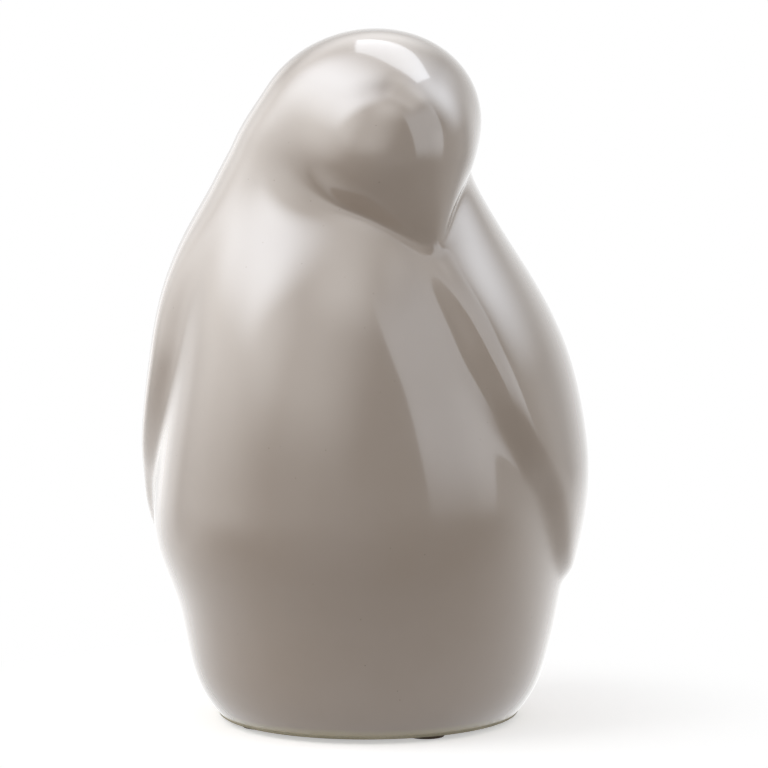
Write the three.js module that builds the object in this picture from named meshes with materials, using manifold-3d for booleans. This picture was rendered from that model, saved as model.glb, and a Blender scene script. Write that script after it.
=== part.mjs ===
// A resting bird in glazed ceramic: a hollow casting that stands on four small felt pads.
// Millimetres, +Z up. The breast faces -Y and the bird's left is +X. The origin is on the table under its middle.

import * as THREE from 'three';
import { mergeVertices, toCreasedNormals } from 'three/addons/utils/BufferGeometryUtils.js';
import Module from 'manifold-3d';

const wasm = await Module();
wasm.setup();

// The main sizes. The torso runs up inside the head, and the head stands a little above it.
const TORSO_WIDTH = 90;
const TORSO_DEPTH = 93;
const TORSO_HEIGHT = 130;

// The casting
const WALL = 4.5;
const VENT_DIAMETER = 9;
const CAVITY_CORNER = 2.5;

// The foot that it stands on
const FOOT_EDGE_BREAK = 0.8;
const FOOT_TRIM_DEPTH = 2.5;
const FOOT_TRIM_CORNER = 0.5;
const RECESS_DEPTH = 2;
const RECESS_DRAFT = 1;

// The felt pads under the foot
const PAD_DIAMETER = 8;
const PAD_THICKNESS = 1;
const PAD_MARGIN = 1.2;

// The torso, as level sections: shares of its height and of its width, how far the section's middle leans to the
// bird's right under the turned head as a share of its width, and how full the breast is as a share of its depth
const TORSO_SECTIONS = [
  { height: 0, width: 0.696, lean: 0, breast: 1 },
  { height: 0.031, width: 0.769, lean: 0, breast: 1 },
  { height: 0.108, width: 0.867, lean: 0, breast: 1 },
  { height: 0.2, width: 0.926, lean: 0, breast: 1 },
  { height: 0.292, width: 0.992, lean: 0.014, breast: 1 },
  { height: 0.4, width: 1.004, lean: 0.012, breast: 1 },
  { height: 0.508, width: 0.955, lean: 0.013, breast: 1.04 },
  { height: 0.615, width: 0.885, lean: 0.022, breast: 1.07 },
  { height: 0.723, width: 0.803, lean: 0.046, breast: 1.03 },
  { height: 0.815, width: 0.722, lean: 0.062, breast: 0.91 },
  { height: 0.908, width: 0.592, lean: 0.059, breast: 0.79 },
  { height: 1, width: 0.464, lean: 0.053, breast: 0.67 },
];
const CROWN_HEIGHT = 20;
const NARROWEST = 1;

// The head, turned towards the bird's left. Places are in the head's own turned frame: out to its left,
// forwards, and down from the top of the torso.
const HEAD_TURN = 16.5;
const CRANIUM_RADIUS = 20.2;
const CRANIUM_HALF_LENGTH = 24.4;
const CRANIUM_TILT = 12.7;
const CRANIUM_OUT = -0.5;
const CRANIUM_FORWARD = 1.2;
const CRANIUM_DOWN = 0.3;
const FACE_RADIUS = 16.8;
const FACE_OUT = 4.5;
const FACE_FORWARD = 15.2;
const FACE_DOWN = 4.8;
const BEAK_TIP_RADIUS = 1.5;
const BEAK_OUT = 13.7;
const BEAK_FORWARD = 24.8;
const BEAK_DOWN = 25.7;
const HEAD_BLEND = 4;

// How softly head and torso run into each other: tight where the beak meets the breast, wide round the nape
const BEAK_BLEND = 0.6;
const NAPE_BLEND = 5.4;
const BEAK_BLEND_BEARING = 55;
const BLEND_START = 30;
const BLEND_END = 121;

// Over the crown the wide blend fades out, between these shares of the torso's height
const BLEND_FADES_FROM = 0.954;
const BLEND_FADES_BY = 1.138;

// The outline of the folded left wing: degrees round the torso from the breast, and share of the torso's height
const WING_OUTLINE = [
  { bearing: 41, height: 0.892 },
  { bearing: 47, height: 0.823 },
  { bearing: 49.5, height: 0.754 },
  { bearing: 51.5, height: 0.692 },
  { bearing: 53, height: 0.638 },
  { bearing: 56, height: 0.588 },
  { bearing: 59, height: 0.546 },
  { bearing: 63, height: 0.504 },
  { bearing: 68, height: 0.458 },
  { bearing: 73.5, height: 0.415 },
  { bearing: 77.5, height: 0.369 },
  { bearing: 81.5, height: 0.327 },
  { bearing: 86, height: 0.288 },
  { bearing: 92.5, height: 0.258 },
  { bearing: 100, height: 0.242 },
  { bearing: 107, height: 0.238 },
  { bearing: 115, height: 0.25 },
  { bearing: 125, height: 0.281 },
  { bearing: 138, height: 0.335 },
  { bearing: 151, height: 0.396 },
  { bearing: 165, height: 0.454 },
  { bearing: 180, height: 0.477 },
];

// The right wing lies further round than the left, in degrees, and is longer by this factor
const RIGHT_WING_SWING = 5;
const RIGHT_WING_REACH = 1.05;

// How far a wing stands proud of the torso, and how soft its edge is, with their shares from the tip up
const WING_THICKNESS = 5.3;
const WING_RELIEF = [
  { height: 0.2, share: 0.17 },
  { height: 0.246, share: 0.34 },
  { height: 0.308, share: 0.53 },
  { height: 0.385, share: 0.69 },
  { height: 0.477, share: 0.86 },
  { height: 0.615, share: 1 },
  { height: 0.731, share: 0.82 },
  { height: 0.815, share: 0.38 },
  { height: 0.892, share: 0.15 },
  { height: 0.954, share: 0 },
];
const WING_EDGE_SOFTNESS = 3.4;
const WING_EDGE = [
  { height: 0.2, share: 0.15 },
  { height: 0.4, share: 0.38 },
  { height: 0.615, share: 0.54 },
  { height: 0.846, share: 1 },
];
const SHARPEST_EDGE = 0.4;
const WING_SHARE_AT_SPINE = 0.5;
const WING_THINS_FROM = 100;

// Facets: how finely the outside and the cavity are divided, and round pieces
const OUTSIDE_DIVISIONS = 28;
const CAVITY_DIVISIONS = 12;
const ROUND_SEGMENTS = 48;
const PAD_SEGMENTS = 32;
const OUTLINE_STEPS_PER_POINT = 5;
const RELAXING_PASSES = 10;
const RELAXING_SHARE = 0.6;
const LAST_SEATINGS = 4;
const FACETS_TO_BENDS = 25;
const SHARPEST_SMOOTH_FOLD = 40;
const WELDING_DISTANCE = 1e-4;

// How the surface is looked for, outwards from a line up the bird's middle: where the line starts and how far
// out the search goes, as shares of the torso's height, its steps, and the step in mm that slopes are taken over
const SPINE_LOW = 0.2;
const FURTHEST_OUT = 1.2;
const MARCHES = 60;
const HALVINGS = 16;
const STEP = 0.02;
const SHALLOWEST_SLOPE = 0.05;
const NEARLY_ZERO = 1e-9;

const radians = THREE.MathUtils.degToRad;
const degrees = THREE.MathUtils.radToDeg;

// A smooth curve through the values at the given places, with no kink in its curvature, straight past both ends
function smoothCurve(places, values) {
  const last = places.length - 1;
  const bend = new Array(last + 1).fill(0);
  const share = new Array(last + 1).fill(0);
  for (let i = 1; i < last; i++) {
    const below = places[i] - places[i - 1];
    const above = places[i + 1] - places[i];
    const turn = (values[i + 1] - values[i]) / above - (values[i] - values[i - 1]) / below;
    const pivot = 2 * (below + above) - below * share[i - 1];
    share[i] = above / pivot;
    bend[i] = (6 * turn - below * bend[i - 1]) / pivot;
  }
  for (let i = last - 1; i > 0; i--) {
    bend[i] -= share[i] * bend[i + 1];
  }
  const firstSpan = places[1] - places[0];
  const lastSpan = places[last] - places[last - 1];
  const firstSlope = (values[1] - values[0]) / firstSpan - (bend[1] * firstSpan) / 6;
  const lastSlope = (values[last] - values[last - 1]) / lastSpan + (bend[last - 1] * lastSpan) / 6;
  return (place) => {
    if (place < places[0]) return values[0] + firstSlope * (place - places[0]);
    if (place > places[last]) return values[last] + lastSlope * (place - places[last]);
    let i = 0;
    while (place > places[i + 1]) i++;
    const span = places[i + 1] - places[i];
    const left = places[i + 1] - place;
    const right = place - places[i];
    return (bend[i] * left ** 3 + bend[i + 1] * right ** 3) / (6 * span)
      + (values[i] / span - (bend[i] * span) / 6) * left
      + (values[i + 1] / span - (bend[i + 1] * span) / 6) * right;
  };
}

// The lower of two values, with the corner between them rounded, and the higher one likewise
function softLower(a, b, rounding) {
  return Math.min(a, b) - rounding * Math.log1p(Math.exp(-Math.abs(a - b) / rounding));
}
function softHigher(a, b, rounding) {
  return -softLower(-a, -b, rounding);
}

// The torso's curves over height
const torsoHalfWidth = smoothCurve(
  TORSO_SECTIONS.map((s) => s.height * TORSO_HEIGHT),
  TORSO_SECTIONS.map((s) => (s.width * TORSO_WIDTH) / 2),
);
const torsoLean = smoothCurve(
  TORSO_SECTIONS.map((s) => s.height * TORSO_HEIGHT),
  TORSO_SECTIONS.map((s) => -s.lean * TORSO_WIDTH),
);
const breastShare = smoothCurve(
  TORSO_SECTIONS.map((s) => s.height * TORSO_HEIGHT),
  TORSO_SECTIONS.map((s) => s.breast),
);
const domeStart = TORSO_SECTIONS[TORSO_SECTIONS.length - 2].height * TORSO_HEIGHT;

// The wing's outline, laid out flat: distance round the torso, and height
const wingOutline = new THREE.SplineCurve(
  WING_OUTLINE.map((p) => new THREE.Vector2((radians(p.bearing) * TORSO_WIDTH) / 2, p.height * TORSO_HEIGHT)),
).getPoints((WING_OUTLINE.length - 1) * OUTLINE_STEPS_PER_POINT);
const wingTop = WING_OUTLINE[0].height * TORSO_HEIGHT;
const wingThickness = smoothCurve(
  WING_RELIEF.map((s) => s.height * TORSO_HEIGHT),
  WING_RELIEF.map((s) => s.share * WING_THICKNESS),
);
const wingSoftness = smoothCurve(
  WING_EDGE.map((s) => s.height * TORSO_HEIGHT),
  WING_EDGE.map((s) => s.share * WING_EDGE_SOFTNESS),
);

// Distance from the wing's outline on the flat layout, positive on the wing
function insideWing(round, height) {
  let nearest = Infinity;
  let side = 1;
  const last = wingOutline.length - 2;
  for (let i = 0; i <= last; i++) {
    const start = wingOutline[i];
    const runX = wingOutline[i + 1].x - start.x;
    const runY = wingOutline[i + 1].y - start.y;
    const offX = round - start.x;
    const offY = height - start.y;
    let along = (offX * runX + offY * runY) / (runX * runX + runY * runY);
    if (i > 0) along = Math.max(along, 0);
    if (i < last) along = Math.min(along, 1);
    const distance = Math.hypot(offX - along * runX, offY - along * runY);
    if (distance < nearest) {
      nearest = distance;
      side = runX * offY - runY * offX > 0 ? 1 : -1;
    }
  }
  return nearest * side;
}

// Torso and wings: distance from their surface, negative inside. The torso closes as a dome over its top.
function torso(p) {
  const half = Math.max(torsoHalfWidth(p.z), NARROWEST);
  const flare = (torsoHalfWidth(p.z + STEP) - torsoHalfWidth(p.z - STEP)) / (2 * STEP);
  const across = p.x - torsoLean(p.z);
  const fullness = p.y < 0 ? breastShare(p.z) : 1;
  const depth = (half * fullness * TORSO_DEPTH) / TORSO_WIDTH;
  const over = Math.max(p.z - domeStart, 0);
  const stretch = Math.hypot(across / half, p.y / depth, over / CROWN_HEIGHT) + NEARLY_ZERO;
  const bare = (Math.hypot(across, p.y, over) * (1 - 1 / stretch)) / Math.hypot(1, flare);

  const bearing = degrees(Math.atan2(Math.abs(across), -p.y));
  const towardsSpine = THREE.MathUtils.smootherstep(bearing, WING_THINS_FROM, 180);
  const onRight = across < 0 ? 1 - towardsSpine : 0;
  const reach = 1 + (RIGHT_WING_REACH - 1) * onRight;
  const height = wingTop - (wingTop - p.z) / reach;
  const inside = insideWing((radians(bearing - RIGHT_WING_SWING * onRight) * TORSO_WIDTH) / 2, height);
  const share = 1 - (1 - WING_SHARE_AT_SPINE) * towardsSpine;
  const thickness = Math.max(wingThickness(height), 0) * share;
  const softness = Math.max(wingSoftness(height), SHARPEST_EDGE);
  return bare - thickness / (1 + Math.exp(-inside / softness));
}

// A place in the head's turned frame
const up = new THREE.Vector3(0, 0, 1);
function headPlace(out, forward, down) {
  return new THREE.Vector3(out, -forward, TORSO_HEIGHT - down).applyAxisAngle(up, radians(HEAD_TURN));
}
const craniumCentre = headPlace(CRANIUM_OUT, CRANIUM_FORWARD, CRANIUM_DOWN);
const craniumAxis = new THREE.Vector3(Math.cos(radians(CRANIUM_TILT)), 0, Math.sin(radians(CRANIUM_TILT)))
  .applyAxisAngle(up, radians(HEAD_TURN));
const faceCentre = headPlace(FACE_OUT, FACE_FORWARD, FACE_DOWN);
const beakTip = headPlace(BEAK_OUT, BEAK_FORWARD, BEAK_DOWN);
const beakLength = faceCentre.distanceTo(beakTip);
const beakAxis = beakTip.clone().sub(faceCentre).normalize();

// Head: the cranium is a ball drawn out along its axis, and the face tapers from a ball to the beak's tip
function head(p) {
  const off = p.clone().sub(craniumCentre);
  const along = off.dot(craniumAxis);
  const across2 = Math.max(off.lengthSq() - along * along, 0);
  const cranium = Math.sqrt(across2 + (along * CRANIUM_RADIUS / CRANIUM_HALF_LENGTH) ** 2) - CRANIUM_RADIUS;

  const fromFace = p.clone().sub(faceCentre);
  const down = fromFace.dot(beakAxis);
  const out = Math.sqrt(Math.max(fromFace.lengthSq() - down * down, 0));
  const taper = (FACE_RADIUS - BEAK_TIP_RADIUS) / beakLength;
  const taperCos = Math.sqrt(1 - taper * taper);
  const foot = down - (out * taper) / taperCos;
  let face = out * taperCos + down * taper - FACE_RADIUS;
  if (foot < 0) face = fromFace.length() - FACE_RADIUS;
  if (foot > beakLength) face = p.distanceTo(beakTip) - BEAK_TIP_RADIUS;
  return softLower(cranium, face, HEAD_BLEND);
}

// The whole bird, closed a little below the level that its foot is trimmed to
const footLevel = PAD_THICKNESS;
function bird(p) {
  const bearing = degrees(Math.atan2(p.x - craniumCentre.x, -(p.y - craniumCentre.y)));
  const fromBeak = Math.abs(THREE.MathUtils.euclideanModulo(bearing - BEAK_BLEND_BEARING + 180, 360) - 180);
  const overCrown = THREE.MathUtils.smootherstep(p.z / TORSO_HEIGHT, BLEND_FADES_FROM, BLEND_FADES_BY);
  const widening = THREE.MathUtils.smootherstep(fromBeak, BLEND_START, BLEND_END) * (1 - overCrown);
  const whole = softLower(torso(p), head(p), BEAK_BLEND + (NAPE_BLEND - BEAK_BLEND) * widening);
  return softHigher(whole, footLevel - FOOT_TRIM_DEPTH - p.z, FOOT_TRIM_CORNER);
}

// The hollow keeps one wall from the outside and from the recess under the foot
const cavityFloor = footLevel + RECESS_DEPTH + WALL;
function cavity(p) {
  return softHigher(bird(p) + WALL, cavityFloor - p.z, CAVITY_CORNER);
}

// Which way a form's surface faces, by small steps
function slope(form, p) {
  const axes = [new THREE.Vector3(STEP, 0, 0), new THREE.Vector3(0, STEP, 0), new THREE.Vector3(0, 0, STEP)];
  return new THREE.Vector3(
    ...axes.map((axis) => (form(p.clone().add(axis)) - form(p.clone().sub(axis))) / (2 * STEP)),
  );
}

// Draws a finely divided box out over a form, then evens its facets while they stay on the surface
function drape(form, divisions, spineLow, spineHigh) {
  const box = new THREE.BoxGeometry(2, 2, 2, divisions, divisions, divisions);
  box.deleteAttribute('normal');
  box.deleteAttribute('uv');
  const geometry = mergeVertices(box);
  const place = geometry.attributes.position;
  const reach = FURTHEST_OUT * TORSO_HEIGHT;
  const points = [];
  for (let i = 0; i < place.count; i++) {
    const way = new THREE.Vector3().fromBufferAttribute(place, i);
    way.set(...way.toArray().map((c) => Math.tan((c * Math.PI) / 4))).normalize();
    const start = new THREE.Vector3(0, 0, THREE.MathUtils.lerp(spineLow, spineHigh, (way.z + 1) / 2));
    const at = (distance) => start.clone().addScaledVector(way, distance);
    let outer = reach;
    while (outer > reach / MARCHES && form(at(outer - reach / MARCHES)) > 0) outer -= reach / MARCHES;
    let inner = outer - reach / MARCHES;
    for (let halving = 0; halving < HALVINGS; halving++) {
      const middle = (inner + outer) / 2;
      if (form(at(middle)) < 0) inner = middle;
      else outer = middle;
    }
    points.push(at((inner + outer) / 2));
  }

  const neighbours = points.map(() => new Set());
  const index = geometry.index.array;
  for (let t = 0; t < index.length; t += 3) {
    for (let corner = 0; corner < 3; corner++) {
      neighbours[index[t + corner]].add(index[t + ((corner + 1) % 3)]);
      neighbours[index[t + ((corner + 1) % 3)]].add(index[t + corner]);
    }
  }
  const facings = points.map((point) => slope(form, point).normalize());
  for (let pass = 0; pass < RELAXING_PASSES; pass++) {
    const moved = points.map((point, i) => {
      const middle = new THREE.Vector3();
      let total = 0;
      for (const n of neighbours[i]) {
        const pull = 1 + FACETS_TO_BENDS * (1 - facings[i].dot(facings[n]));
        middle.addScaledVector(points[n], pull);
        total += pull;
      }
      return point.clone().lerp(middle.divideScalar(total), RELAXING_SHARE);
    });
    const seatings = pass === RELAXING_PASSES - 1 ? LAST_SEATINGS : 1;
    for (let i = 0; i < points.length; i++) {
      for (let seating = 0; seating < seatings; seating++) {
        const facing = slope(form, moved[i]);
        moved[i].addScaledVector(facing, -form(moved[i]) / Math.max(facing.lengthSq(), SHALLOWEST_SLOPE));
        facings[i] = facing.normalize();
      }
      points[i] = moved[i];
    }
  }
  points.forEach((point, i) => place.setXYZ(i, point.x, point.y, point.z));
  return geometry;
}

// Booleans: a closed geometry becomes a solid, and a solid a geometry again
function solid(geometry) {
  const bare = geometry.clone();
  bare.deleteAttribute('normal');
  bare.deleteAttribute('uv');
  const merged = mergeVertices(bare, WELDING_DISTANCE);
  return new wasm.Manifold(new wasm.Mesh({
    numProp: 3,
    vertProperties: new Float32Array(merged.attributes.position.array),
    triVerts: new Uint32Array(merged.index.array),
  }));
}
function geometryOf(manifold) {
  const mesh = manifold.getMesh();
  const geometry = new THREE.BufferGeometry();
  geometry.setAttribute('position', new THREE.BufferAttribute(mesh.vertProperties, 3));
  geometry.setIndex(new THREE.BufferAttribute(mesh.triVerts, 1));
  return toCreasedNormals(geometry, radians(SHARPEST_SMOOTH_FOLD));
}

// A solid of revolution about +Z from its outline, as radius and height
function revolve(outline) {
  const points = outline.map(([radius, height]) => new THREE.Vector2(radius, height));
  return new THREE.LatheGeometry(points, ROUND_SEGMENTS).rotateX(Math.PI / 2);
}

// The foot ring runs from the broken edge in, and is as wide as a pad with its margins
const footRadius = torsoHalfWidth(footLevel);
const ringOuter = footRadius - FOOT_EDGE_BREAK;
const ringInner = ringOuter - PAD_DIAMETER - 2 * PAD_MARGIN;

// Trims the casting flat at its foot and takes the corner off its edge
function footTrim() {
  const clear = 2 * TORSO_HEIGHT;
  return revolve([
    [0, footLevel],
    [ringOuter, footLevel],
    [footRadius + clear, footLevel + FOOT_EDGE_BREAK + clear],
    [footRadius + clear, 2 * clear],
    [0, 2 * clear],
  ]).scale(1, TORSO_DEPTH / TORSO_WIDTH, 1);
}

// The shallow recess inside the foot ring, with drafted sides
function recess() {
  return revolve([
    [0, 0],
    [ringInner, 0],
    [ringInner, footLevel],
    [ringInner - RECESS_DRAFT, footLevel + RECESS_DEPTH],
    [0, footLevel + RECESS_DEPTH],
  ]).scale(1, TORSO_DEPTH / TORSO_WIDTH, 1);
}

// The vent that lets the hollow breathe in the kiln
function vent() {
  const top = cavityFloor + 2 * CAVITY_CORNER;
  return new THREE.CylinderGeometry(VENT_DIAMETER / 2, VENT_DIAMETER / 2, top, ROUND_SEGMENTS / 2)
    .rotateX(Math.PI / 2)
    .translate(0, 0, top / 2);
}

function ceramicBody() {
  const spineLow = SPINE_LOW * TORSO_HEIGHT;
  const outside = solid(drape(bird, OUTSIDE_DIVISIONS, spineLow, domeStart));
  const hollow = solid(drape(cavity, CAVITY_DIVISIONS, spineLow, domeStart));
  const shell = outside
    .intersect(solid(footTrim()))
    .subtract(hollow)
    .subtract(solid(recess()))
    .subtract(solid(vent()));
  return geometryOf(shell);
}

// One felt pad, stuck under the foot ring
function feltPad(bearing) {
  const ringMiddle = (ringOuter + ringInner) / 2;
  return new THREE.CylinderGeometry(PAD_DIAMETER / 2, PAD_DIAMETER / 2, PAD_THICKNESS, PAD_SEGMENTS)
    .rotateX(Math.PI / 2)
    .translate(ringMiddle * Math.cos(bearing), ringMiddle * Math.sin(bearing), PAD_THICKNESS / 2)
    .translate(0, (TORSO_DEPTH / TORSO_WIDTH - 1) * ringMiddle * Math.sin(bearing), 0);
}

const glaze = { color: 0xa59689, roughness: 0.12, metalness: 0 };
const felt = { color: 0x6b5a48, roughness: 0.95, metalness: 0 };

function piece(name, geometry, finish) {
  const mesh = new THREE.Mesh(geometry, new THREE.MeshStandardMaterial(finish));
  mesh.name = name;
  return mesh;
}

const figurine = new THREE.Group();
figurine.add(piece('ceramic_body', ceramicBody(), glaze));
const padNames = ['felt_pad_rear_left', 'felt_pad_rear_right', 'felt_pad_front_right', 'felt_pad_front_left'];
padNames.forEach((name, i) => {
  const bearing = ((i + 0.5) * 2 * Math.PI) / padNames.length;
  figurine.add(piece(name, feltPad(bearing), felt));
});

// The origin goes under the middle of the whole figurine
const middle = new THREE.Box3().setFromObject(figurine).getCenter(new THREE.Vector3());
figurine.children.forEach((mesh) => mesh.geometry.translate(-middle.x, -middle.y, 0));

export default figurine;
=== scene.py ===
"""A resting bird in glazed ceramic on a plain white floor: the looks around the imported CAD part."""

import math

import bmesh
import bpy
import numpy as np
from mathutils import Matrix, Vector


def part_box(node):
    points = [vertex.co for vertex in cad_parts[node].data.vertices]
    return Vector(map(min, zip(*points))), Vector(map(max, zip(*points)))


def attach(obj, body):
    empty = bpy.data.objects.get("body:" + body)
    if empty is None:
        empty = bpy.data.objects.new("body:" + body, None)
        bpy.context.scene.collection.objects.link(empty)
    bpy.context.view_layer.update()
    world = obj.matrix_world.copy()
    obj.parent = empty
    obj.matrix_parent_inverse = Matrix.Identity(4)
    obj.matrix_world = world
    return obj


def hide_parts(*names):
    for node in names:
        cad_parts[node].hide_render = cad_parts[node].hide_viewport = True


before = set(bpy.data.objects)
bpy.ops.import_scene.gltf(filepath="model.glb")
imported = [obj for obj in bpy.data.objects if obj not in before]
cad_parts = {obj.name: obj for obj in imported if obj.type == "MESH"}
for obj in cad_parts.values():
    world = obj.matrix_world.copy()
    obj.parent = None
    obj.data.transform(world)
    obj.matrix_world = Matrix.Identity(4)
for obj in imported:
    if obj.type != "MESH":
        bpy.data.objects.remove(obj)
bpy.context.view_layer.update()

MM = 0.001

# The casting's torso: level sections from the table up, as height, half width and lean to the bird's left, in
# mm, and how full the breast is in front, as a share of the depth
SECTION_HEIGHTS = [0, 4, 14, 26, 38, 52, 66, 80, 94, 106, 118, 130]
HALF_WIDTHS = [31.32, 34.61, 39.02, 41.67, 44.64, 45.18, 42.98, 39.83, 36.14, 32.49, 26.64, 20.88]
LEANS = [0, 0, 0, 0, -1.26, -1.08, -1.17, -1.98, -4.14, -5.58, -5.31, -4.77]
BREAST_FULLNESS = [1, 1, 1, 1, 1, 1, 1.04, 1.07, 1.03, 0.91, 0.79, 0.67]
DEPTH_FULLNESS = 1.033
CROWN_START = 118
CROWN_HEIGHT = 20

# The head, in its own turned frame: a ball drawn out along its axis, and a face that tapers to the beak
HEAD_TURN = math.radians(16.5)
CRANIUM_PLACE = (-0.5, -1.2, 129.7)
CRANIUM_RADIUS = 20.2
CRANIUM_HALF_LENGTH = 24.4
CRANIUM_TILT = math.radians(12.7)
FACE_PLACE = (4.5, -15.2, 125.2)
FACE_RADIUS = 16.8
BEAK_TIP_PLACE = (13.7, -24.8, 104.3)
BEAK_TIP_RADIUS = 1.5
HEAD_BLEND = 4

# How softly head and torso run into each other, from the beak's bearing round to the nape
BEAK_BLEND = 0.6
NAPE_BLEND = 5.4
BEAK_BLEND_BEARING = 55
BLEND_START = 30
BLEND_END = 121
BLEND_FADES = (124, 148)

# The folded wing's outline, as degrees round the torso from the breast, and height
WING_OUTLINE = [
    (41, 116), (47, 107), (49.5, 98), (51.5, 90), (53, 83), (56, 76.5), (59, 71), (63, 65.5), (68, 59.5),
    (73.5, 54), (77.5, 48), (81.5, 42.5), (86, 37.5), (92.5, 33.5), (100, 31.5), (107, 31), (115, 32.5),
    (125, 36.5), (138, 43.5), (151, 51.5), (165, 59), (180, 62),
]
WING_UNROLL_RADIUS = 45
RIGHT_WING_SWING = 5
RIGHT_WING_REACH = 1.05
WING_HEIGHTS = [26, 32, 40, 50, 62, 80, 95, 106, 116, 124]
WING_THICKNESSES = [0.9, 1.8, 2.81, 3.66, 4.56, 5.3, 4.35, 2.01, 0.79, 0]
EDGE_HEIGHTS = [26, 52, 80, 110]
EDGE_SOFTNESSES = [0.51, 1.29, 1.84, 3.4]
SHARPEST_EDGE = 0.4
WING_SHARE_AT_SPINE = 0.5
WING_THINS_FROM = 100

# The glazed surface lies this far inside the form, so that it stays in the CAD body's box
INSIDE_CAD = 0.14

# The foot, the ring it stands on, the recess inside that and the vent, in mm
FOOT_LEVEL = 1
FOOT_TRIM_DEPTH = 2.5
FOOT_TRIM_CORNER = 0.5
FOOT_EDGE = 0.8
FOOT_EDGE_ANGLES = (0.4, 0.8, 1.2, math.pi / 2)
FOOT_WELD_BAND = 0.3
FOOT_WELD = 0.12
RING_MIDDLE_RADIUS = 26.9
RING_INNER_RADIUS = 20.9
RING_CORNER_WIDTH = 0.3
RING_CORNER_RISE = 0.2
RECESS_DEPTH = 2
RECESS_SLOPE = 1
RECESS_CORNER_WIDTH = 0.5
RECESS_CORNER_RISE = 0.4
RECESS_MIDDLE_RADIUS = 12
WALL = 4.5
VENT_RADIUS = 4.5
VENT_EDGE = 0.5

# The hollow above the base, as radius and height up to its top, in mm
HOLLOW_FLOOR_RADIUS = 24
HOLLOW_CORNER_RADIUS = 29
HOLLOW_CORNER_RISE = 2
HOLLOW_SIDE = [(33, 18), (38, 40), (38, 60), (32, 90), (22, 112), (10, 124), (1, 128)]
HOLLOW_TOP = 128.2

# The felt pads' edges, in mm
PAD_SIDES = 72
PAD_EDGE = 0.22
PAD_RIM = 0.9

# The drape: a box of square cells is sent out to the form and slid over it until the cells lie evenly
SPINE_LOW = 26
COARSE_DIVISIONS = 48
MARCHES = 60
HALVINGS = 14
REACH = 156
STEP = 0.02
COARSE_PASSES = 12
FINE_PASSES = 3
LAST_SETTLES = 3
SLIDE_SHARE = 0.6
PULL_TO_BENDS = 25
LEAST_SLOPE = 0.05


# The form

def smooth_curve(places, values):
    """A smooth curve through the values, with no kink in its curvature, straight past both ends."""
    x = np.array(places, float)
    y = np.array(values, float)
    spans = np.diff(x)
    slopes = np.diff(y) / spans
    system = np.eye(len(x))
    right = np.zeros(len(x))
    for i in range(1, len(x) - 1):
        system[i, i - 1:i + 2] = spans[i - 1], 2 * (spans[i - 1] + spans[i]), spans[i]
        right[i] = 6 * (slopes[i] - slopes[i - 1])
    bend = np.linalg.solve(system, right)
    first = slopes[0] - bend[1] * spans[0] / 6
    last = slopes[-1] + bend[-2] * spans[-1] / 6

    def curve(place):
        at = np.clip(place, x[0], x[-1])
        i = np.clip(np.searchsorted(x, at, side="right") - 1, 0, len(x) - 2)
        span, left, gone = spans[i], x[i + 1] - at, at - x[i]
        inner = (bend[i] * left ** 3 + bend[i + 1] * gone ** 3) / (6 * span)
        inner += (y[i] / span - bend[i] * span / 6) * left + (y[i + 1] / span - bend[i + 1] * span / 6) * gone
        return inner + first * np.minimum(place - x[0], 0) + last * np.maximum(place - x[-1], 0)

    return curve


def smooth_step(start, end, value):
    t = np.clip((value - start) / (end - start), 0, 1)
    return t ** 3 * (t * (6 * t - 15) + 10)


def soft_lower(a, b, rounding):
    """The lower of two distances, with the corner between them rounded."""
    return np.minimum(a, b) - rounding * np.log1p(np.exp(-np.abs(a - b) / rounding))


def soft_higher(a, b, rounding):
    return -soft_lower(-a, -b, rounding)


def flat_outline(points, steps):
    """The wing's outline laid out flat, as a smooth run of short lines."""
    p = np.array([(math.radians(bearing) * WING_UNROLL_RADIUS, height) for bearing, height in points])
    p = np.vstack([2 * p[0] - p[1], p, 2 * p[-1] - p[-2]])
    run = []
    for a, b, c, d in zip(p[:-3], p[1:-2], p[2:-1], p[3:]):
        bow, twist = 2 * a - 5 * b + 4 * c - d, 3 * b - 3 * c + d - a
        for t in np.linspace(0, 1, steps, endpoint=False):
            run.append(0.5 * (2 * b + (c - a) * t + bow * t ** 2 + twist * t ** 3))
    return np.array(run + [p[-2]])


half_width = smooth_curve(SECTION_HEIGHTS, HALF_WIDTHS)
lean = smooth_curve(SECTION_HEIGHTS, LEANS)
breast_fullness = smooth_curve(SECTION_HEIGHTS, BREAST_FULLNESS)
wing_thickness = smooth_curve(WING_HEIGHTS, WING_THICKNESSES)
wing_softness = smooth_curve(EDGE_HEIGHTS, EDGE_SOFTNESSES)
wing_outline = flat_outline(WING_OUTLINE, 5)


def inside_wing(round_, height):
    """Distance from the wing's outline on the flat layout, positive on the wing."""
    nearest = np.full(round_.shape, np.inf)
    side = np.ones(round_.shape)
    last = len(wing_outline) - 2
    for i, (start, end) in enumerate(zip(wing_outline[:-1], wing_outline[1:])):
        run = end - start
        off_x, off_y = round_ - start[0], height - start[1]
        along = (off_x * run[0] + off_y * run[1]) / (run @ run)
        along = np.clip(along, 0 if i else -np.inf, 1 if i < last else np.inf)
        distance = np.hypot(off_x - along * run[0], off_y - along * run[1])
        closer = distance < nearest
        nearest = np.where(closer, distance, nearest)
        side = np.where(closer, np.where(run[0] * off_y - run[1] * off_x > 0, 1, -1), side)
    return nearest * side


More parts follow.
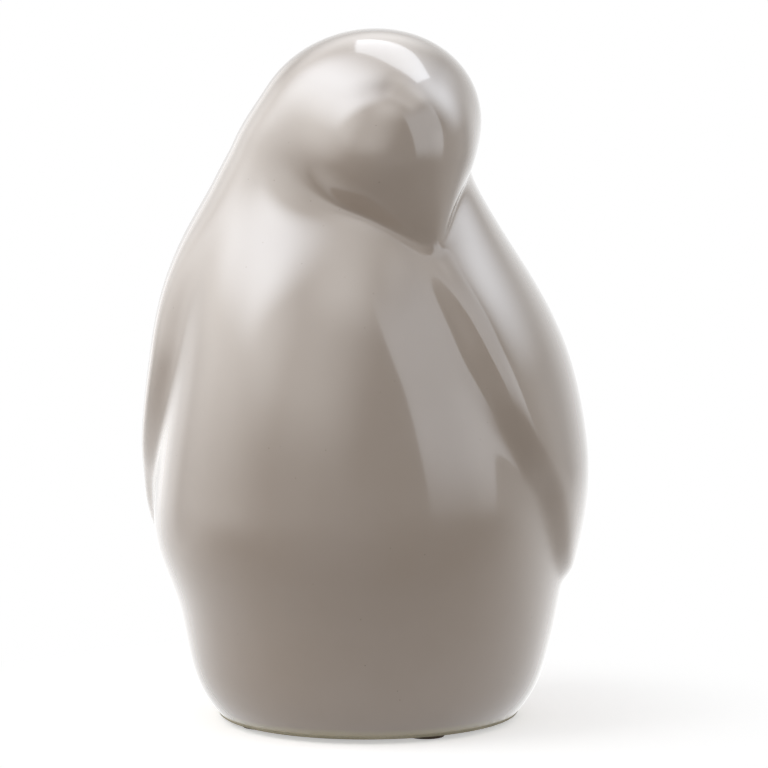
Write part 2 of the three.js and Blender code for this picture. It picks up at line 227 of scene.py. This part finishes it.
def torso(p):
    """Distance from torso and wings, negative inside."""
    x, y, z = p[:, 0] - lean(p[:, 2]), p[:, 1], p[:, 2]
    half = np.maximum(half_width(z), 1)
    depth = half * DEPTH_FULLNESS * np.where(y < 0, breast_fullness(z), 1)
    flare = (half_width(z + STEP) - half_width(z - STEP)) / (2 * STEP)
    over = np.maximum(z - CROWN_START, 0)
    stretch = np.sqrt((x / half) ** 2 + (y / depth) ** 2 + (over / CROWN_HEIGHT) ** 2) + 1e-9
    bare = np.sqrt(x ** 2 + y ** 2 + over ** 2) * (1 - 1 / stretch) / np.hypot(1, flare)

    bearing = np.degrees(np.arctan2(np.abs(x), -y))
    towards_spine = smooth_step(WING_THINS_FROM, 180, bearing)
    on_right = np.where(x < 0, 1 - towards_spine, 0)
    height = WING_OUTLINE[0][1] - (WING_OUTLINE[0][1] - z) / (1 + (RIGHT_WING_REACH - 1) * on_right)
    inside = inside_wing(np.radians(bearing - RIGHT_WING_SWING * on_right) * WING_UNROLL_RADIUS, height)
    thickness = np.maximum(wing_thickness(height), 0) * (1 - (1 - WING_SHARE_AT_SPINE) * towards_spine)
    softness = np.maximum(wing_softness(height), SHARPEST_EDGE)
    return bare - thickness / (1 + np.exp(np.clip(-inside / softness, -60, 60)))


def turned(place):
    side, back, rise = place
    cos, sin = math.cos(HEAD_TURN), math.sin(HEAD_TURN)
    return np.array([side * cos - back * sin, side * sin + back * cos, rise])


cranium_centre = turned(CRANIUM_PLACE)
cranium_axis = turned((math.cos(CRANIUM_TILT), 0, math.sin(CRANIUM_TILT)))
face_centre = turned(FACE_PLACE)
beak_tip = turned(BEAK_TIP_PLACE)


def head(p):
    """Distance from the cranium and the face with its beak."""
    off = p - cranium_centre
    along = off @ cranium_axis
    across2 = np.maximum((off ** 2).sum(1) - along ** 2, 0)
    cranium = np.sqrt(across2 + (along * CRANIUM_RADIUS / CRANIUM_HALF_LENGTH) ** 2) - CRANIUM_RADIUS

    length = np.linalg.norm(beak_tip - face_centre)
    off = p - face_centre
    down = off @ ((beak_tip - face_centre) / length)
    out = np.sqrt(np.maximum((off ** 2).sum(1) - down ** 2, 0))
    taper = (FACE_RADIUS - BEAK_TIP_RADIUS) / length
    taper_cos = math.sqrt(1 - taper ** 2)
    foot = down - out * taper / taper_cos
    face = out * taper_cos + down * taper - FACE_RADIUS
    face = np.where(foot < 0, np.linalg.norm(off, axis=1) - FACE_RADIUS, face)
    face = np.where(foot > length, np.linalg.norm(p - beak_tip, axis=1) - BEAK_TIP_RADIUS, face)
    return soft_lower(cranium, face, HEAD_BLEND)


def bird(p):
    """Distance from the whole bird, closed a little below the level that its foot is trimmed to."""
    bearing = np.degrees(np.arctan2(p[:, 0] - cranium_centre[0], cranium_centre[1] - p[:, 1]))
    from_beak = np.abs((bearing - BEAK_BLEND_BEARING + 180) % 360 - 180)
    widening = smooth_step(BLEND_START, BLEND_END, from_beak) * (1 - smooth_step(*BLEND_FADES, p[:, 2]))
    blend = BEAK_BLEND + (NAPE_BLEND - BEAK_BLEND) * widening
    whole = soft_lower(torso(p), head(p), blend) + INSIDE_CAD
    return soft_higher(whole, FOOT_LEVEL - FOOT_TRIM_DEPTH - p[:, 2], FOOT_TRIM_CORNER)


def slope(p):
    """Which way the form's surface faces, by small steps."""
    return np.stack([(bird(p + axis) - bird(p - axis)) / (2 * STEP) for axis in np.eye(3) * STEP], 1)


# The body's mesh

def places(bm):
    return np.array([v.co for v in bm.verts])


def move_to(bm, p):
    for vert, place in zip(bm.verts, p):
        vert.co = place


def divided(bm, cuts):
    bmesh.ops.subdivide_edges(bm, edges=bm.edges[:], cuts=cuts, use_grid_fill=True)
    bm.verts.index_update()


def draw_out(p):
    """Sends each point of the box out from a line up the bird's middle until it meets the form."""
    way = np.tan(p * math.pi / 4)
    way /= np.linalg.norm(way, axis=1)[:, None]
    start = np.zeros_like(way)
    start[:, 2] = SPINE_LOW + (CROWN_START - SPINE_LOW) * (way[:, 2] + 1) / 2
    outer = np.full(len(p), float(REACH))
    done = np.zeros(len(p), bool)
    for _ in range(MARCHES - 1):
        nearer = outer - REACH / MARCHES
        done |= bird(start + way * nearer[:, None]) < 0
        outer = np.where(done, outer, nearer)
    inner = outer - REACH / MARCHES
    for _ in range(HALVINGS):
        middle = (inner + outer) / 2
        within = bird(start + way * middle[:, None]) < 0
        inner, outer = np.where(within, middle, inner), np.where(within, outer, middle)
    return start + way * ((inner + outer) / 2)[:, None]


def evened(bm, p, passes):
    """Slides the points over the form until they lie evenly, closer together where it bends."""
    edges = np.array([(e.verts[0].index, e.verts[1].index) for e in bm.edges])
    a, b = edges[:, 0], edges[:, 1]
    facing = slope(p)
    for turn in range(passes):
        unit = facing / np.linalg.norm(facing, axis=1)[:, None]
        pull = 1 + PULL_TO_BENDS * (1 - (unit[a] * unit[b]).sum(1))
        total = np.bincount(a, pull, len(p)) + np.bincount(b, pull, len(p))
        middle = np.stack([
            np.bincount(a, pull * p[b, i], len(p)) + np.bincount(b, pull * p[a, i], len(p)) for i in range(3)
        ], 1) / total[:, None]
        p = p + SLIDE_SHARE * (middle - p)
        for _ in range(LAST_SETTLES if turn == passes - 1 else 1):
            facing = slope(p)
            p = p - facing * (bird(p) / np.maximum((facing ** 2).sum(1), LEAST_SLOPE))[:, None]
    return p


def next_ring(bm, edges, scale, height):
    """Extrudes the open edge to a ring drawn in by a scale, at a height in mm."""
    made = bmesh.ops.extrude_edge_only(bm, edges=edges)["geom"]
    for vert in (g for g in made if isinstance(g, bmesh.types.BMVert)):
        vert.co = vert.co.x * scale, vert.co.y * scale, height
    faces = [g for g in made if isinstance(g, bmesh.types.BMFace)]
    return [g for g in made if isinstance(g, bmesh.types.BMEdge) and g.is_boundary], faces


def inside_profile(radius, trim_level):
    """The way round the foot's edge, over the ring, the recess and the vent, and up the hollow, as radius and
    height."""
    recess_radius = RING_INNER_RADIUS - RECESS_SLOPE
    recess_level = FOOT_LEVEL + RECESS_DEPTH
    hollow_level = recess_level + WALL
    edge = [
        (radius - FOOT_EDGE * (1 - math.cos(a)), trim_level - FOOT_EDGE * math.sin(a)) for a in FOOT_EDGE_ANGLES
    ]
    ring = [
        (RING_MIDDLE_RADIUS, FOOT_LEVEL), (RING_INNER_RADIUS + RING_CORNER_WIDTH, FOOT_LEVEL),
        (RING_INNER_RADIUS, FOOT_LEVEL + RING_CORNER_RISE),
    ]
    recess = [
        (recess_radius, recess_level - RECESS_CORNER_RISE), (recess_radius - RECESS_CORNER_WIDTH, recess_level),
        (RECESS_MIDDLE_RADIUS, recess_level),
    ]
    vent = [
        (VENT_RADIUS + VENT_EDGE, recess_level), (VENT_RADIUS, recess_level + VENT_EDGE),
        (VENT_RADIUS, hollow_level - VENT_EDGE), (VENT_RADIUS + VENT_EDGE, hollow_level),
    ]
    corner = [
        (HOLLOW_FLOOR_RADIUS, hollow_level), (HOLLOW_CORNER_RADIUS, hollow_level + HOLLOW_CORNER_RISE),
    ]
    return edge + ring + recess + vent + corner + HOLLOW_SIDE


def make_body(glaze, biscuit):
    bm = bmesh.new()
    bmesh.ops.create_cube(bm, size=2)
    divided(bm, COARSE_DIVISIONS - 1)
    move_to(bm, evened(bm, draw_out(places(bm)), COARSE_PASSES))
    divided(bm, 1)
    move_to(bm, evened(bm, places(bm), FINE_PASSES))

    # Trimmed level at the foot, with the small cells that the cut leaves merged
    trim = Vector((0, 0, FOOT_LEVEL + FOOT_EDGE))
    everything = bm.verts[:] + bm.edges[:] + bm.faces[:]
    bmesh.ops.bisect_plane(bm, geom=everything, plane_co=trim, plane_no=(0, 0, 1), clear_inner=True)
    by_cut = [v for v in bm.verts if v.co.z < trim.z + FOOT_WELD_BAND]
    bmesh.ops.remove_doubles(bm, verts=by_cut, dist=FOOT_WELD)

    # From the cut, ring by ring, over the foot's underside and up the hollow to its closed top
    edges = [e for e in bm.edges if e.is_boundary]
    at = radius = float(half_width(trim.z))
    biscuit_faces = []
    for out, height in inside_profile(radius, trim.z):
        edges, faces = next_ring(bm, edges, out / at, height)
        biscuit_faces += faces
        at = out
    bmesh.ops.pointmerge(bm, verts=list({v for e in edges for v in e.verts}), merge_co=(0, 0, HOLLOW_TOP))
    bmesh.ops.recalc_face_normals(bm, faces=bm.faces[:])

    unglazed = {f for f in biscuit_faces if f.is_valid}
    top_of_side = HOLLOW_SIDE[-1][1]
    for face in bm.faces:
        closes_top = len(face.verts) == 3 and face.calc_center_median().z > top_of_side
        face.smooth = True
        face.material_index = 1 if face in unglazed or closes_top else 0
    bmesh.ops.scale(bm, vec=(MM, MM, MM), verts=bm.verts[:])
    shift = standing_place(bm)
    bmesh.ops.translate(bm, vec=shift, verts=bm.verts[:])
    return finish_piece(bm, "ceramic_body_glazed", [glaze, biscuit]), shift


def standing_place(bm):
    """The shift that puts the body's middle over the middle of its CAD node."""
    low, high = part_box("ceramic_body")
    p = places(bm)
    middle = (low + high) / 2 - Vector((p.min(0) + p.max(0)) / 2)
    return Vector((middle.x, middle.y, 0))


def finish_piece(bm, name, materials):
    mesh = bpy.data.meshes.new(name)
    bm.to_mesh(mesh)
    bm.free()
    for material in materials:
        mesh.materials.append(material)
    piece = bpy.data.objects.new(name, mesh)
    bpy.context.scene.collection.objects.link(piece)
    return piece


# Felt pads

def make_pad(node, felt):
    """A die-cut felt disc in the place of its CAD node, with a softly rounded edge."""
    low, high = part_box(node)
    centre = (low + high) / 2
    radius = (high.x - low.x) / 2
    height = high.z - low.z
    bm = bmesh.new()
    bmesh.ops.create_cone(bm, cap_ends=True, segments=PAD_SIDES, radius1=radius, radius2=radius, depth=height)
    rims = [e for e in bm.edges if abs(e.verts[0].co.z - e.verts[1].co.z) < 1e-7]
    bmesh.ops.bevel(bm, geom=rims, offset=PAD_EDGE * MM, segments=3, profile=0.5, affect="EDGES", material=-1)
    caps = [f for f in bm.faces if len(f.verts) > 4]
    bmesh.ops.inset_region(bm, faces=caps, thickness=PAD_RIM * MM, depth=0)
    for face in bm.faces:
        face.smooth = True
    bmesh.ops.translate(bm, vec=centre, verts=bm.verts[:])
    return finish_piece(bm, node + "_felt", [felt])


# Materials

def linear(colour):
    """An sRGB hex colour as linear red, green, blue and alpha."""
    parts = [int(colour[i:i + 2], 16) / 255 for i in (1, 3, 5)]
    return [c / 12.92 if c <= 0.04045 else ((c + 0.055) / 1.055) ** 2.4 for c in parts] + [1]


def node(tree, kind, settings=None, inputs=None, stops=()):
    """Adds a node, with its settings, its inputs as values or sockets to link from, and a ramp's two stops."""
    added = tree.nodes.new(kind)
    for key, value in (settings or {}).items():
        setattr(added, key, value)
    for key, value in (inputs or {}).items():
        socket = added.inputs[key]
        if isinstance(value, bpy.types.NodeSocket):
            tree.links.new(value, socket)
        else:
            socket.default_value = value
    for i, (place, colour) in enumerate(stops):
        added.color_ramp.elements[i].position = place
        added.color_ramp.elements[i].color = linear(colour)
    return added


def new_material(name):
    material = bpy.data.materials.new(name)
    material.use_nodes = True
    tree = material.node_tree
    tree.nodes.clear()
    return material, tree


def make_glaze():
    """Taupe stoneware glaze, dipped and fired glossy: a glassy coat with faint clouds, fine dark iron specks,
    and a cream edge where it runs thin above the wiped foot."""
    material, tree = new_material("stoneware_glaze_taupe")
    place = node(tree, "ShaderNodeTexCoord").outputs["Object"]
    clouds = node(tree, "ShaderNodeTexNoise", inputs={
        "Vector": place, "Scale": 1 / (28 * MM), "Detail": 3, "Roughness": 0.5,
    })
    body = node(tree, "ShaderNodeValToRGB", inputs={"Fac": clouds.outputs["Fac"]},
                stops=[(0.3, "#A39486"), (0.7, "#A7998D")])

    specks = node(tree, "ShaderNodeTexVoronoi", {"feature": "F1"}, {"Vector": place, "Scale": 1 / (3.2 * MM)})
    dot = node(tree, "ShaderNodeValToRGB", inputs={"Fac": specks.outputs["Distance"]},
               stops=[(0.03, "#FFFFFF"), (0.055, "#000000")])
    chosen = node(tree, "ShaderNodeSeparateColor", inputs={"Color": specks.outputs["Color"]})
    rare = node(tree, "ShaderNodeMath", {"operation": "GREATER_THAN"}, {0: chosen.outputs["Red"], 1: 0.62})
    amount = node(tree, "ShaderNodeMath", {"operation": "MULTIPLY"},
                  {0: dot.outputs["Color"], 1: rare.outputs["Value"]})
    faint = node(tree, "ShaderNodeMath", {"operation": "MULTIPLY"}, {0: amount.outputs["Value"], 1: 0.45})
    speckled = node(tree, "ShaderNodeMix", {"data_type": "RGBA"},
                    {"Factor": faint.outputs["Value"], "A": body.outputs["Color"], "B": linear("#5F5146")})

    height = node(tree, "ShaderNodeSeparateXYZ", inputs={"Vector": place}).outputs["Z"]
    wander = node(tree, "ShaderNodeTexNoise", inputs={"Vector": place, "Scale": 1 / (9 * MM), "Detail": 2})
    raised = node(tree, "ShaderNodeMath", {"operation": "MULTIPLY_ADD"},
                  {0: wander.outputs["Fac"], 1: -0.8 * MM, 2: height})
    thin = node(tree, "ShaderNodeMapRange", {"interpolation_type": "SMOOTHSTEP"}, {
        "Value": raised.outputs["Value"], "From Min": 1.6 * MM, "From Max": 3.2 * MM, "To Min": 1, "To Max": 0,
    })
    edged = node(tree, "ShaderNodeMix", {"data_type": "RGBA"},
                 {"Factor": thin.outputs["Result"], "A": speckled.outputs["Result"], "B": linear("#B3A78C")})

    ripples = node(tree, "ShaderNodeTexNoise", inputs={"Vector": place, "Scale": 1 / (7 * MM), "Detail": 1})
    bump = node(tree, "ShaderNodeBump", inputs={
        "Height": ripples.outputs["Fac"], "Strength": 0.12, "Distance": 0.06 * MM,
    })
    polish = node(tree, "ShaderNodeMapRange", inputs={
        "Value": clouds.outputs["Fac"], "To Min": 0.12, "To Max": 0.17,
    })
    shader = node(tree, "ShaderNodeBsdfPrincipled", inputs={
        "Base Color": edged.outputs["Result"], "Roughness": polish.outputs["Result"], "IOR": 1.55,
        "Coat Weight": 1, "Coat Roughness": 0.04, "Coat IOR": 1.55,
        "Normal": bump.outputs["Normal"], "Coat Normal": bump.outputs["Normal"],
    })
    node(tree, "ShaderNodeOutputMaterial", inputs={"Surface": shader.outputs["BSDF"]})
    return material


def make_biscuit():
    """Unglazed stoneware, wiped and fired: dry, cream, with a fine sandy grain."""
    material, tree = new_material("stoneware_biscuit_cream")
    place = node(tree, "ShaderNodeTexCoord").outputs["Object"]
    grain = node(tree, "ShaderNodeTexNoise", inputs={"Vector": place, "Scale": 1 / (0.5 * MM), "Detail": 4})
    stain = node(tree, "ShaderNodeTexNoise", inputs={"Vector": place, "Scale": 1 / (12 * MM), "Detail": 3})
    mixed = node(tree, "ShaderNodeMath", {"operation": "MULTIPLY_ADD"},
                 {0: grain.outputs["Fac"], 1: 0.4, 2: stain.outputs["Fac"]})
    colour = node(tree, "ShaderNodeValToRGB", inputs={"Fac": mixed.outputs["Value"]},
                  stops=[(0.45, "#98917A"), (0.95, "#B7AE98")])
    bump = node(tree, "ShaderNodeBump", inputs={
        "Height": grain.outputs["Fac"], "Strength": 0.5, "Distance": 0.05 * MM,
    })
    shader = node(tree, "ShaderNodeBsdfPrincipled", inputs={
        "Base Color": colour.outputs["Color"], "Roughness": 0.85, "IOR": 1.5,
        "Normal": bump.outputs["Normal"],
    })
    node(tree, "ShaderNodeOutputMaterial", inputs={"Surface": shader.outputs["BSDF"]})
    return material


def make_felt():
    """Pressed brown wool felt, die-cut: matted fibres, a soft sheen and no gloss."""
    material, tree = new_material("wool_felt_brown")
    place = node(tree, "ShaderNodeTexCoord").outputs["Object"]
    stretched = node(tree, "ShaderNodeMapping", inputs={"Vector": place, "Scale": (1, 1, 2.5)})
    fibres = node(tree, "ShaderNodeTexNoise", inputs={
        "Vector": stretched.outputs["Vector"], "Scale": 1 / (0.35 * MM),
        "Detail": 5, "Roughness": 0.7, "Distortion": 1.5,
    })
    colour = node(tree, "ShaderNodeValToRGB", inputs={"Fac": fibres.outputs["Fac"]},
                  stops=[(0.3, "#4A3D31"), (0.7, "#7B6957")])
    bump = node(tree, "ShaderNodeBump", inputs={
        "Height": fibres.outputs["Fac"], "Strength": 0.8, "Distance": 0.12 * MM,
    })
    shader = node(tree, "ShaderNodeBsdfPrincipled", inputs={
        "Base Color": colour.outputs["Color"], "Roughness": 0.95,
        "Sheen Weight": 0.35, "Sheen Roughness": 0.5, "Normal": bump.outputs["Normal"],
    })
    node(tree, "ShaderNodeOutputMaterial", inputs={"Surface": shader.outputs["BSDF"]})
    return material


# Stage, camera and lights

# Where the camera stands and looks, and how wide it sees there
VIEW_TURN = math.radians(16.5)
VIEW_RISE = math.radians(7)
VIEW_DISTANCE = 1.1
VIEW_CENTRE_SIDE = 3.36 * MM
VIEW_CENTRE_HEIGHT = 73 * MM
FRAME_WIDTH = 166.6 * MM
SENSOR = 36

# Every lamp aims at one height and stands at one distance from there
LAMP_AIM = 90 * MM
LAMP_DISTANCE = 1.1
WHITE = (1, 1, 1, 1)
NEUTRAL = "#FFFFFF"
COOL = "#F0F6FF"

# Levels round the bird, where 1 is white: on its colour, and in its gloss from the room and from the backdrop,
# with the share of facing it at which the backdrop starts and is full
FILL_LEVEL = 0.47
ROOM_IN_GLOSS = 0.57
BACKDROP_IN_GLOSS = 1
BACKDROP_STARTS = 0.5
BACKDROP_FULL = 0.9

# The floor: how far from the bird the shadow fades, and the table top that shows in the gloss as a painted glow
# standing in for its sheen, with the glow's levels in front of the bird and behind it
FLOOR_RADIUS = 4
FLOOR_GLOW = 0.45
SHADOW_TO = 45 * MM
WHITE_FROM = 105 * MM
TABLE_FULL_TO = 60 * MM
TABLE_GONE_FROM = 600 * MM
PAINTED_SHEEN_IN_FRONT = 0.3
PAINTED_SHEEN_BEHIND = 1.25
FRONT_AT = -120 * MM
BEHIND_AT = 60 * MM


def seen_from(side_angle, rise, distance):
    """A point by its angle round from the camera's side, to the right, and its rise."""
    turn = VIEW_TURN + side_angle
    flat = distance * math.cos(rise)
    return Vector((math.sin(turn) * flat, -math.cos(turn) * flat, distance * math.sin(rise)))


def make_camera(stands_at):
    data = bpy.data.cameras.new("photo_camera")
    data.sensor_width = SENSOR
    data.lens = SENSOR * VIEW_DISTANCE / FRAME_WIDTH
    data.clip_end = 20
    camera = bpy.data.objects.new("photo_camera", data)
    bpy.context.scene.collection.objects.link(camera)
    target = Vector((math.cos(VIEW_TURN), math.sin(VIEW_TURN), 0)) * VIEW_CENTRE_SIDE
    target += stands_at
    target.z = VIEW_CENTRE_HEIGHT
    camera.location = target + seen_from(0, VIEW_RISE, VIEW_DISTANCE)
    camera.rotation_euler = (target - camera.location).to_track_quat("-Z", "Y").to_euler()
    bpy.context.scene.camera = camera


def softbox(name, side_angle, rise, width, height, level, soft, lights="gloss", tint=NEUTRAL):
    """A rectangular softbox aimed at the bird, by the level at its middle, where 1 is white. Its cloth dims
    towards its edges over shares of its width and of its height, or of its width from the back and from the
    front. It lights either the gloss or the colour under it."""
    data = bpy.data.lights.new(name, "AREA")
    data.shape = "RECTANGLE"
    data.size, data.size_y = width, height
    data.color = linear(tint)[:3]
    data.energy = level * math.pi * width * height
    data.use_nodes = True
    tree = data.node_tree
    tree.nodes.clear()
    on_cloth = node(tree, "ShaderNodeNewGeometry").outputs["Parametric"]
    spot = node(tree, "ShaderNodeSeparateXYZ", inputs={0: on_cloth})
    dimmed = None
    for axis, shares in zip("XY", soft):
        first, last = shares if isinstance(shares, tuple) else (shares, shares)
        for edge, inner in ((0, first), (1, 1 - last)):
            part = node(tree, "ShaderNodeMapRange", {"interpolation_type": "SMOOTHSTEP"},
                        {"Value": spot.outputs[axis], "From Min": edge, "From Max": inner}).outputs["Result"]
            if dimmed:
                part = node(tree, "ShaderNodeMath", {"operation": "MULTIPLY"},
                            {0: dimmed, 1: part}).outputs["Value"]
            dimmed = part
    glow = node(tree, "ShaderNodeEmission", inputs={"Strength": dimmed})
    node(tree, "ShaderNodeOutputLight", inputs={"Surface": glow.outputs[0]})
    lamp = bpy.data.objects.new(name, data)
    bpy.context.scene.collection.objects.link(lamp)
    lamp.visible_diffuse = lights == "colour"
    lamp.visible_glossy = lights == "gloss"
    centre = Vector((0, 0, LAMP_AIM))
    lamp.location = centre + seen_from(math.radians(side_angle), math.radians(rise), LAMP_DISTANCE)
    lamp.rotation_euler = (centre - lamp.location).to_track_quat("-Z", "Y").to_euler()


def make_world():
    """White for what the camera sees behind the bird, and weaker levels for its colour and its gloss, in which
    the backdrop behind the bird is brighter than the room."""
    world = bpy.data.worlds.new("studio_white")
    bpy.context.scene.world = world
    world.use_nodes = True
    tree = world.node_tree
    tree.nodes.clear()
    way = node(tree, "ShaderNodeTexCoord").outputs["Generated"]
    behind = node(tree, "ShaderNodeVectorMath", {"operation": "DOT_PRODUCT"}, {0: way, 1: -seen_from(0, 0, 1)})
    backdrop = node(tree, "ShaderNodeMapRange", {"interpolation_type": "SMOOTHSTEP"}, {
        "Value": behind.outputs["Value"], "From Min": BACKDROP_STARTS, "From Max": BACKDROP_FULL,
        "To Min": ROOM_IN_GLOSS, "To Max": BACKDROP_IN_GLOSS,
    })
    fill = node(tree, "ShaderNodeBackground", inputs={"Color": WHITE, "Strength": FILL_LEVEL})
    mirrored = node(tree, "ShaderNodeBackground",
                    inputs={"Color": WHITE, "Strength": backdrop.outputs["Result"]})
    white = node(tree, "ShaderNodeBackground", inputs={"Color": WHITE, "Strength": 1})
    path = node(tree, "ShaderNodeLightPath")
    on_object = node(tree, "ShaderNodeMixShader",
                     inputs={0: path.outputs["Is Glossy Ray"], 1: fill.outputs[0], 2: mirrored.outputs[0]})
    seen = node(tree, "ShaderNodeMath", {"operation": "MAXIMUM"},
                {0: path.outputs["Is Camera Ray"], 1: path.outputs["Is Transmission Ray"]})
    mixed = node(tree, "ShaderNodeMixShader",
                 inputs={0: seen.outputs["Value"], 1: on_object.outputs[0], 2: white.outputs[0]})
    node(tree, "ShaderNodeOutputWorld", inputs={"Surface": mixed.outputs[0]})


def make_floor():
    """White photo paper, matt and faintly mottled. Near the bird it keeps the shadow, and further out the
    camera sees plain white. In the glaze it shows as a small table top with a painted glow standing in for its
    sheen, dark in front and bright behind, past whose edge the low softboxes show."""
    material, tree = new_material("paper_floor_white")
    place = node(tree, "ShaderNodeTexCoord").outputs["Object"]
    away = node(tree, "ShaderNodeVectorMath", {"operation": "LENGTH"}, {0: place})
    fibre = node(tree, "ShaderNodeTexNoise", inputs={"Vector": place, "Scale": 1 / (40 * MM), "Detail": 2})
    tint = node(tree, "ShaderNodeValToRGB", inputs={"Fac": fibre.outputs["Fac"]},
                stops=[(0, "#F4F4F4"), (1, "#F7F7F7")])
    paper = node(tree, "ShaderNodeBsdfDiffuse", inputs={"Color": tint.outputs["Color"]})
    glow = node(tree, "ShaderNodeEmission", inputs={"Color": WHITE, "Strength": FLOOR_GLOW})
    lit = node(tree, "ShaderNodeAddShader", inputs={0: paper.outputs[0], 1: glow.outputs[0]})
    white = node(tree, "ShaderNodeEmission", inputs={"Color": WHITE, "Strength": 1})
    far = node(tree, "ShaderNodeMapRange", {"interpolation_type": "SMOOTHSTEP"},
               {"Value": away.outputs["Value"], "From Min": SHADOW_TO, "From Max": WHITE_FROM})
    seen = node(tree, "ShaderNodeMixShader",
                inputs={0: far.outputs["Result"], 1: lit.outputs[0], 2: white.outputs[0]})

    matt = node(tree, "ShaderNodeBsdfDiffuse", inputs={"Color": linear("#E4E4E4")})
    # Painted sheen: in the gloss the table top glows, dim in front of the bird and bright behind, in place of a
    # lit satin table's reflection
    behind = node(tree, "ShaderNodeVectorMath", {"operation": "DOT_PRODUCT"},
                  {0: place, 1: -seen_from(0, 0, 1)})
    painted_sheen_level = node(tree, "ShaderNodeMapRange", {"interpolation_type": "SMOOTHSTEP"}, {
        "Value": behind.outputs["Value"], "From Min": FRONT_AT, "From Max": BEHIND_AT,
        "To Min": PAINTED_SHEEN_IN_FRONT, "To Max": PAINTED_SHEEN_BEHIND,
    })
    painted_sheen_glow = node(tree, "ShaderNodeEmission",
                 inputs={"Color": WHITE, "Strength": painted_sheen_level.outputs["Result"]})
    open_air = node(tree, "ShaderNodeBsdfTransparent")
    gone = node(tree, "ShaderNodeMapRange", {"interpolation_type": "SMOOTHSTEP"},
                {"Value": away.outputs["Value"], "From Min": TABLE_FULL_TO, "From Max": TABLE_GONE_FROM})
    path = node(tree, "ShaderNodeLightPath")
    table = node(tree, "ShaderNodeMixShader",
                 inputs={0: path.outputs["Is Glossy Ray"], 1: matt.outputs[0], 2: painted_sheen_glow.outputs[0]})
    small_table = node(tree, "ShaderNodeMixShader",
                       inputs={0: gone.outputs["Result"], 1: table.outputs[0], 2: open_air.outputs[0]})
    both = node(tree, "ShaderNodeMixShader",
                inputs={0: path.outputs["Is Camera Ray"], 1: small_table.outputs[0], 2: seen.outputs[0]})
    node(tree, "ShaderNodeOutputMaterial", inputs={"Surface": both.outputs[0]})
    bm = bmesh.new()
    bmesh.ops.create_circle(bm, cap_ends=True, segments=96, radius=FLOOR_RADIUS)
    floor = finish_piece(bm, "paper_floor", [material])


# The scene

bpy.context.scene.view_settings.view_transform = "Standard"
make_world()
make_floor()

# Softboxes for the pictures in the gloss: angle from the camera to its right, rise, width, height and level
softbox("softbox_key_left", -93, 57, 1.25, 2.08, 3.6, soft=((0.4, 0.28), 0.5), tint=COOL)
softbox("softbox_low_left", -92, 24, 2.48, 2.21, 2.5, soft=(0.45, 0.5))
softbox("softbox_front", -33, 38, 2.32, 2.6, 1.3, soft=(0.45, 0.34))
softbox("softbox_right", 59, 24, 0.99, 1.67, 1.3, soft=(0.05, 0.32), tint=COOL)
softbox("softbox_side_right", 115, 44, 1.16, 1.57, 2.9, soft=(0.5, 0.46), tint=COOL)
softbox("softbox_low_right", 95, 4, 1.66, 1.11, 0.3, soft=(0.3, 0.33))
softbox("softbox_over_right", 70, 71, 0.85, 0.93, 1.6, soft=(0.3, 0.28))
softbox("softbox_over_front", 8, 60, 1.3, 0.9, 1.0, soft=(0.5, 0.5))
softbox("softbox_crown", 162, 60, 0.80, 0.36, 2.0, soft=(0.04, 0.06), tint=COOL)
softbox("softbox_behind_high", -165, 60, 1.9, 1.35, 1.5, soft=(0.37, 0.34))
softbox("softbox_behind_low", -140, 5, 0.9, 1.3, 0.6, soft=(0.3, 0.34))

# Fill lamps for the level of the colour
softbox("fill_left", -75, 30, 1.2, 1.2, 1.9, soft=(0.2, 0.2), lights="colour")
softbox("fill_right", 70, 25, 1.2, 1.2, 0.6, soft=(0.2, 0.2), lights="colour")

body, stands_at = make_body(make_glaze(), make_biscuit())
make_camera(stands_at)
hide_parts("ceramic_body")
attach(body, "root")

felt = make_felt()
for corner in ("front_left", "front_right", "rear_left", "rear_right"):
    pad = make_pad("felt_pad_" + corner, felt)
    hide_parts("felt_pad_" + corner)
    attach(pad, "root")
